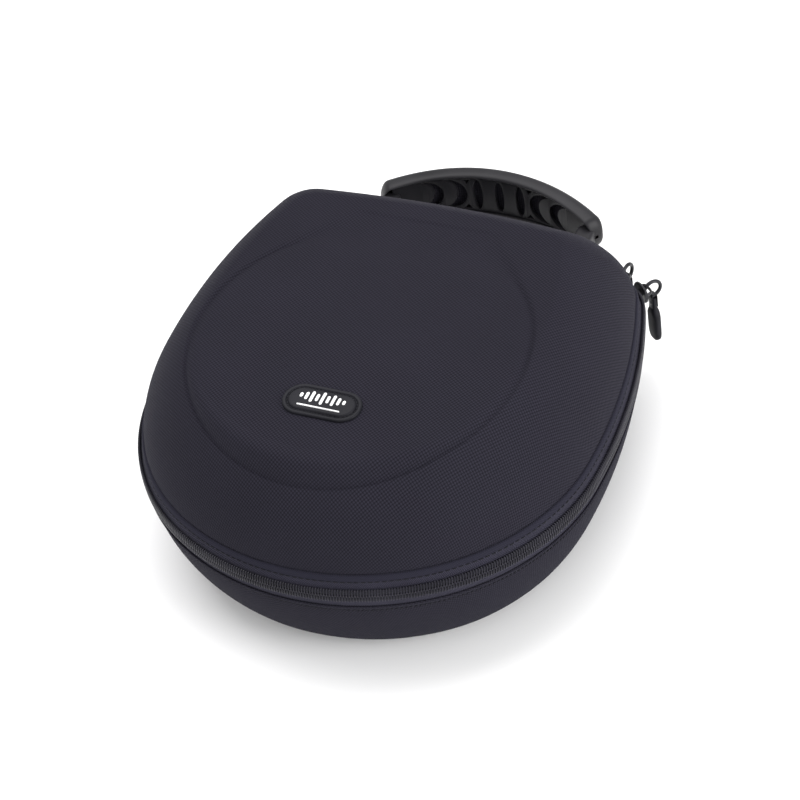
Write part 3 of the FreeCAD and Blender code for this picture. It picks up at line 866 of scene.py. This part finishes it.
def lune(middle, radius, thick, side):
    """Crescent with its bulge towards the grip's middle."""
    first = middle + side * (radius - thick / 2)
    tip = math.acos(thick / 2 / radius)
    outline = []
    for centre, turns in (
        (first, np.linspace(math.pi - tip, tip - math.pi, 25)),
        (first + side * thick, np.linspace(-tip, tip, 21)[1:-1]),
    ):
        outline += [(centre - side * radius * math.cos(a), radius * math.sin(a)) for a in turns]
    return outline


def cut_outs():
    """Outlines of the cut-outs in the grip's inner plate, as (x, height)."""
    outlines = []
    for x in (-12.0, 0.0, 12.0):
        outlines.append([(x + 2.6 * math.cos(a), 10.3 * math.sin(a)) for a in circle(36)])
    for side in (-1, 1):
        outlines.append(lune(side * 20.5, 9.6, 5.6, side))
        outlines.append(lune(side * 32.7, 8.6, 5.2, side))
        for rise in (-1, 1):
            outlines.append([(side * 15.6, rise * 9.9), (side * 20.2, rise * 9.9), (side * 17.6, rise * 6.9)])
    return outlines


def make_grip_plate():
    """Inner plate of the grip, sunk between the rims, with its cut-outs."""
    loops = []
    for x in np.linspace(-GRIP_SPAN + 7.5, GRIP_SPAN - 7.5, 118):
        high = grip_half(x) * INNER_SHARE
        loops.append(grip_point(np.full(4, x), np.repeat(INNER_OUT, 2), high * np.array([-1, 1, 1, -1])))
    plate = add_piece("grip_plate", *sweep(loops), "grip", None, ("handle_grip",), sharp=30)
    inner_face = GRIP_CENTRE + GRIP_INNER
    depths = (inner_face - 30, inner_face + 12)
    prisms = [sweep([[(x, y, ZIP + h) for x, h in outline] for y in depths]) for outline in cut_outs()]
    cutter = mesh_object("cutter", *together(prisms))
    outward(cutter)
    cut = plate.modifiers.new("cut", "BOOLEAN")
    cut.operation, cut.solver, cut.object = "DIFFERENCE", "EXACT", cutter
    soften = plate.modifiers.new("soften", "BEVEL")
    soften.width, soften.segments = 0.35 * MM, 2
    soften.limit_method, soften.angle_limit = "ANGLE", math.radians(50)
    bake_modifiers(plate)
    bpy.data.objects.remove(cutter)
    plate.data.set_sharp_from_angle(angle=math.radians(35))
    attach(plate, "handle")


def bake_modifiers(piece):
    """Replace a piece's mesh by what its modifiers make."""
    bpy.context.view_layer.update()
    graph = bpy.context.evaluated_depsgraph_get()
    mesh = bpy.data.meshes.new_from_object(piece.evaluated_get(graph))
    piece.modifiers.clear()
    piece.data = mesh


def make_handle():
    make_grip_cover()
    make_grip_plate()
    loops, cloth = [], []
    for x in np.linspace(-GRIP_SPAN + 8, GRIP_SPAN - 8, 90):
        heights = np.linspace(-1, 1, 8) * grip_half(x) * WEBBING_SHARE
        heights = np.concatenate([heights, heights[::-1]])
        loops.append(grip_point(np.full(16, x), np.repeat(WEBBING_OUT, 8), heights))
        cloth.append([(x, h) for h in heights])
    add_piece("grip_webbing", *sweep(loops), "webbing", "handle", ("handle_webbing",), cloth)
    low, high = box("handle_feet")
    half = Vector((high.z - low.z, high.y - low.y, high.z - low.z)) / 2
    middle_y = (low.y + high.y) / 2
    feet = [superquad((side * (high.x - half.x), middle_y, ZIP), half) for side in (-1, 1)]
    add_piece("grip_feet", *together(feet), "grip", "handle", ("handle_feet",))
    for name in ("left", "right"):
        make_strap_tab(name)


def make_strap_tab(name):
    """Straight webbing from the back seam towards the grip's foot, reaching just past the handle's fold line.
    """
    node = "handle_anchor_" + name
    low, high = box(node)
    middle, half = (low.x + high.x) / 2, (high.x - low.x) / 2
    across = np.concatenate([np.linspace(-half, half, 7), np.linspace(half, -half, 7)])
    z = np.repeat([high.z, low.z], 7)
    loops, cloth = [], []
    for y in np.linspace(low.y - 3.0, FOLD_Y + 3.5, 22):
        loops.append(np.column_stack([middle + across, np.full(14, y), z]))
        cloth.append(np.column_stack([across, np.full(14, y)]))
    tab = add_piece("strap_tab_" + name, *sweep(loops), "webbing", None, (node,), cloth)
    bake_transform(tab)


# ---- sliders, rings and pulls
class Slider:
    """Places points given as (along the chain, up, out from the chain's face)."""

    def __init__(self, name):
        self.name = name
        run = next(j for j in frame["joints"] if j["name"] == name + "_run")
        self.centre = np.array(run["pos_m"][:2]) / MM
        self.radius = RADII[3]
        low, high = box(name + "_ring")
        ring_middle = np.array([(low.x + high.x) / 2, (low.y + high.y) / 2]) - self.centre
        self.turn = math.atan2(ring_middle[1], ring_middle[0])

    def curved(self, points):
        """Bend with the chain."""
        along, up, out = np.moveaxis(np.asarray(points, float), -1, 0)
        angle = self.turn + along / self.radius
        reach = self.radius + out
        x = self.centre[0] + reach * np.cos(angle)
        y = self.centre[1] + reach * np.sin(angle)
        return np.stack([x, y, ZIP + up], -1)

    def straight(self, points):
        """Keep straight, square to the chain at the slider's middle."""
        along, up, out = np.moveaxis(np.asarray(points, float), -1, 0)
        normal = np.array([math.cos(self.turn), math.sin(self.turn)])
        tangent = np.array([-normal[1], normal[0]])
        flat = self.centre + np.multiply.outer(self.radius + out, normal) + np.multiply.outer(along, tangent)
        return np.concatenate([flat, (ZIP + up)[..., None]], -1)

    def metal(self, part, points, faces, body, replaces=True):
        """Add a metal part, in the place of the CAD node of the same name."""
        name = self.name + "_" + part
        add_piece(name, points, faces, "black_metal", body, (name,) if replaces else ())

    def body(self):
        """Front plate, domed and narrowing towards one end, with lips that reach over the chain."""
        loops = []
        angles = circle(28)
        c, q = np.cos(angles), np.sin(angles)
        for f in np.linspace(-1, 1, 31):
            along = SLIDER_HALF * math.sin(f * math.pi / 2)
            ends = math.sqrt(max(0.0, 1 - (abs(along) / SLIDER_HALF) ** 6)) if abs(f) < 1 else 0.25
            wide = (PLATE_HALF - PLATE_NARROWING * smoothstep(along, 0.5, SLIDER_HALF)) * max(ends, 0.25)
            up = wide * soft(c, 0.35)
            rise = PLATE_THICK / 2 * soft(q, 0.5)
            out = PLATE_CLEAR + PLATE_THICK / 2 + rise + 0.35 * (q > 0) * (1 - (up / 5.0) ** 2)
            loops.append(self.curved(np.column_stack([np.full(28, along), up, out])))
        self.metal("body", *sweep(loops), self.name)

    def inside(self):
        """Back plate and the web between the two rows of teeth."""
        points, faces = together([superquad(*BACK_PLATE), superquad(*WEB)])
        self.metal("back", self.curved(points), faces, self.name, False)

    def bridge(self):
        """Arch that carries the ring."""
        length, wide, thick = BRIDGE_HALF
        angles = math.pi * np.linspace(0, 1, 25)
        path = np.column_stack([-length * soft(np.cos(angles), 0.55), np.abs(np.sin(angles)) ** 0.6])
        step = headings(path * [1, BRIDGE_OUT - BRIDGE_ROOT])
        loops = []
        angles = circle(12)
        thick = thick * np.sin(angles)
        for (along, rise), (da, dr) in zip(path, step):
            out = BRIDGE_ROOT + rise * (BRIDGE_OUT - BRIDGE_ROOT) + thick * da
            loops.append(self.straight(np.column_stack([along - thick * dr, wide * np.cos(angles), out])))
        self.metal("bridge", *sweep(loops), self.name)

    def ring(self, body):
        around, across = np.meshgrid(circle(56), circle(14), indexing="ij")
        reach = RING_RADIUS + RING_WIRE * np.cos(across)
        up = reach * np.sin(around) - RING_DOWN
        out = BRIDGE_OUT + RING_OUT + reach * np.cos(around)
        points = self.straight(np.stack([RING_WIRE * np.sin(across), up, out], -1))
        faces = grid_faces(56, 14, wrap_rows=True, wrap_columns=True)
        self.metal("ring", points, faces, body)

    def pull(self, body, node):
        """Rubber pull with a waist at the top, held to the ring by a riveted clip."""
        wire = -RING_DOWN - RING_RADIUS
        out_at = BRIDGE_OUT + RING_OUT
        loops = []
        top, length = wire - PULL_TOP, PULL_END - PULL_TOP
        angles = circle(28)
        c, q = np.cos(angles), np.sin(angles)
        for f in np.linspace(0, 1, 44):
            down = length * (1 - math.cos(math.pi * f)) / 2
            wide = PULL_WAIST + (PULL_HALF - PULL_WAIST) * smoothstep(down, 5.0, 12.0)
            thick = 1.2 + 1.1 * smoothstep(down, 4.5, 9.0) - 0.5 * smoothstep(down, 20.0, 29.0)
            left = length - down
            round_end = math.sqrt(max(0.0, 1 - (1 - min(left / PULL_HALF, 1.0)) ** 2))
            round_top = math.sqrt(max(0.0, 1 - (1 - min(down / 1.5, 1.0)) ** 2))
            wide *= max(round_end * (0.5 + 0.5 * round_top), 0.1)
            thick *= max(min(round_end + 0.25, 1.0), 0.3)
            out = out_at + thick * soft(q, 0.75)
            loops.append(self.straight(np.column_stack([wide * soft(c, 0.7), np.full(28, top - down), out])))
        add_piece(self.name + "_pull_rubber", *sweep(loops), "soft_rubber", body, (node,))
        self.clip(body, node + "_eyelet", wire, out_at)

    def clip(self, body, node, wire, out_at):
        """Bent strip round the ring's wire, riveted through the pull."""
        bend = [(CLIP_GAP * math.cos(a), wire + CLIP_GAP * math.sin(a)) for a in np.linspace(0, math.pi, 15)]
        cheek = np.linspace(wire - CLIP_LENGTH, wire, 9)
        path = [(CLIP_GAP, y) for y in cheek] + bend[1:-1] + [(-CLIP_GAP, y) for y in cheek[::-1]]
        angles = circle(16)
        along = CLIP_HALF[0] * soft(np.cos(angles), 0.3)
        thick = CLIP_HALF[1] * np.sin(angles)
        loops = []
        for (out, up), (do, du) in zip(path, headings(np.array(path))):
            loops.append(self.straight(np.column_stack([along, up - thick * do, out_at + out + thick * du])))
        self.metal("clip", *sweep(loops), body, False)
        places = [(0, wire - RIVET_DOWN, out_at + side * (CLIP_GAP + CLIP_HALF[1])) for side in (-1, 1)]
        points, faces = together([superquad(place, RIVET_HALF, 0.9) for place in places])
        add_piece(self.name + "_rivet", self.straight(points), faces, "eyelet", body, (node,))


def make_sliders():
    for end in ("front", "rear"):
        slider = Slider(end + "_slider")
        slider.body()
        slider.inside()
        slider.bridge()
        slider.ring(end + "_ring")
        slider.pull(end + "_pull_tab", end + "_pull")


# ---- badge
def stadium(length, width, inset, count=160):
    """Points round a shape with round ends, moved in by inset."""
    r, half = width / 2, (length - width) / 2
    lap = 2 * half + math.pi * r
    points = []
    for d in np.linspace(0, 2 * lap, count, endpoint=False):
        side = 1 if d < lap else -1
        d = d % lap
        if d < 2 * half:
            x, y = d - half, inset - r
        else:
            a = (d - 2 * half) / r - math.pi / 2
            x, y = half + (r - inset) * math.cos(a), (r - inset) * math.sin(a)
        points.append((side * x, side * y))
    return np.array(points)


def on_lid(points, centre, height):
    x, y = points[:, 0] + centre[0], points[:, 1] + centre[1]
    return np.column_stack([x, y, lid_height(x, y) + height])


def make_badge():
    """Soft badge: raised rim, sewn groove and a domed pad with a plain row of level bars."""
    low, high = box("badge_plate")
    length, width = high.x - low.x, high.y - low.y
    centre = ((low.x + high.x) / 2, (low.y + high.y) / 2)
    profile = [
        (0.3, -1.0), (0.0, 0.1), (0.05, 0.9), (0.3, 1.3), (0.8, 1.5), (1.5, 1.5), (1.9, 1.25), (2.1, 0.75),
        (2.7, 0.7), (2.95, 1.1), (3.2, 1.5), (3.7, 1.75), (4.6, 1.85), (6.5, 1.95), (8.5, 2.0),
    ]
    rows = np.array([on_lid(stadium(length, width, inset), centre, rise) for inset, rise in profile])
    add_piece("badge", *sweep(rows), "soft_rubber", "lid", ("badge_plate",), sharp=60)
    sew_badge(stadium(length, width, 2.4, 720), centre)
    make_mark(centre)


def sew_badge(groove, centre):
    """Stitches along the badge's groove."""
    gaps = np.linalg.norm(np.roll(groove, -1, 0) - groove, axis=1)
    travel = np.concatenate([[0], np.cumsum(gaps)])
    loop = np.concatenate([groove, groove[:1]])
    count = 44
    starts = np.arange(count) * travel[-1] / count
    paths, side, up = [], [], []
    for f, rise in ((0.0, 0.55), (0.15, 0.95), (0.5, 1.05), (0.85, 0.95), (1.0, 0.55)):
        at = starts + f * 1.6
        x, y, ahead_x, ahead_y = [np.interp(at + d, travel, loop[:, k]) for d in (0, 0.2) for k in (0, 1)]
        across = np.column_stack([y - ahead_y, ahead_x - x, np.zeros(count)])
        across /= np.linalg.norm(across, axis=1)[:, None] + 1e-9
        paths.append(on_lid(np.column_stack([x, y]), centre, rise))
        side.append(across)
        up.append(np.tile([0.0, 0.0, 1.0], (count, 1)))
    points, faces = rods(paths, side, up, [0.15, 0.2, 0.22, 0.2, 0.15])
    add_piece("badge_stitches", points, faces, "thread", "lid", slot="soft_rubber")


def make_mark(centre):
    """Plain row of level bars over a line."""
    heights, wide, pitch = (2.6, 4.6, 6.8, 4.6, 8.0, 4.6, 6.8, 4.6, 2.6), 1.4, 2.7
    bars = []
    for i, tall in enumerate(heights):
        upright = stadium(tall, wide, 0.0, 28)[:, ::-1]
        bars.append(upright + [(i - (len(heights) - 1) / 2) * pitch, 1.4])
    bars.append(stadium(22.0, 0.7, 0.0, 60) + [0, -4.6])
    layers = [(1.0, 1.7), (1.0, 2.2), (0.94, 2.28)]
    blocks = []
    for outline in bars:
        middle = outline.mean(0)
        shrunk = [(middle + (outline - middle) * scale, rise) for scale, rise in layers]
        blocks.append(sweep([on_lid(shape, centre, rise) for shape, rise in shrunk]))
    add_piece("badge_bars", *together(blocks), "badge_mark", "lid", ("badge_mark",))


# ---- lid pocket
def pocket_height(x, y):
    """The net sags a little between its sewn sides."""
    sag = 5.0 * np.clip(1 - (x / 100) ** 2, 0, 1) * smoothstep(y, POCKET[0].y, EDGING[0].y)
    return (POCKET[0].z + POCKET[1].z) / 2 - sag


def pocket_rim():
    """The lid's inside at the pocket, from left to right round the front."""
    t = (POCKET[0].z - LID_SEAM) / (LID_CROWN - WALL - LINING - LID_SEAM)
    inset, _, roundness = shoulder(t, LID_SEAM, LID_CROWN, LID_SHAPE, WALL + LINING + 0.4)
    rim, _ = plan(np.linspace(-HALF, HALF, 1200), inset, roundness)
    front = rim[rim[:, 1] < EDGING[0].y + 1]
    return front[np.argsort(front[:, 0])]


def make_net():
    """Knotted net sewn across the front of the lid."""
    front = pocket_rim()
    edge_y = EDGING[0].y + 1.0
    reach = front[:, 0].max()
    pitch, steps = 3.6, 40
    strands = []
    for slant in (-1, 1):
        for offset in np.arange(-260, 260, pitch * math.sqrt(2)):
            x = np.linspace(-reach + 0.5, reach - 0.5, 400)
            y = EDGING[0].y + slant * x + offset
            inside = (y > np.interp(x, front[:, 0], front[:, 1])) & (y < edge_y)
            if inside.sum() < 8:
                continue
            ends = np.linspace(x[inside].min(), x[inside].max(), steps)
            line = EDGING[0].y + slant * ends + offset
            twist = 0.25 * np.sin(ends * math.pi / pitch * math.sqrt(2)) * slant
            strands.append(np.column_stack([ends, line, pocket_height(ends, line) + twist]))
    paths = np.array(strands)
    up = np.tile([0.0, 0.0, 1.0], paths.shape[:2] + (1,))
    points, faces = tubes(paths, np.cross(headings(paths), up), up, np.full(steps, 0.32), 4)
    add_piece("pocket_net", points, faces, "net_cord", "lid", ("pocket_net",))


def make_elastic():
    """Ribbed elastic along the net's free edge."""
    angles = circle(20)
    y = (EDGING[0].y + EDGING[1].y) / 2 + 3.4 * soft(np.cos(angles), 0.5)
    loops, cloth = [], []
    for x in np.linspace(EDGING[0].x + 0.5, EDGING[1].x - 0.5, 70):
        cloth.append(np.column_stack([np.full(20, x), y]))
        loops.append(np.column_stack([cloth[-1], pocket_height(x, y) + soft(np.sin(angles), 0.5)]))
    add_piece("pocket_elastic", *sweep(loops), "elastic", "lid", ("pocket_edging",), cloth)


# ---- build
def lid_lip():
    """The lid's rolled edge, as (inset, height)."""
    drops = ((4.95, -0.35), (5.5, -0.6), (7.0, -0.65), (8.8, -0.6), (9.25, -0.3))
    return [(inset, LID_SEAM + drop) for inset, drop in drops]


def base_lip():
    """The base's edge: a flap up over the tape and back down inside it, as (inset, height)."""
    top = ZIP - FLAP_REACH
    return [
        (2.1, BASE_SEAM + 0.8), (1.55, BASE_SEAM + 1.6), (1.25, top - 0.9), (1.3, top - 0.35),
        (1.6, top - 0.05), (2.0, top - 0.15), (2.2, top - 0.6), (2.35, BASE_SEAM + 0.9),
        (2.7, BASE_SEAM + 0.35), (4.5, BASE_SEAM + 0.25), (6.6, BASE_SEAM + 0.25), (7.1, BASE_SEAM),
    ]


def main():
    make_materials()
    make_camera()
    make_stage()
    make_shell("lid", lid_lip())
    make_shell("base", base_lip())
    for body in HALVES:
        make_lining(body)
    make_zip()
    make_spine()
    make_handle()
    make_sliders()
    make_badge()
    make_net()
    make_elastic()
    stops = frame["nodes"]["zip_stops"]
    stops.data.materials.clear()
    stops.data.materials.append(MATERIALS["binding"])


main()
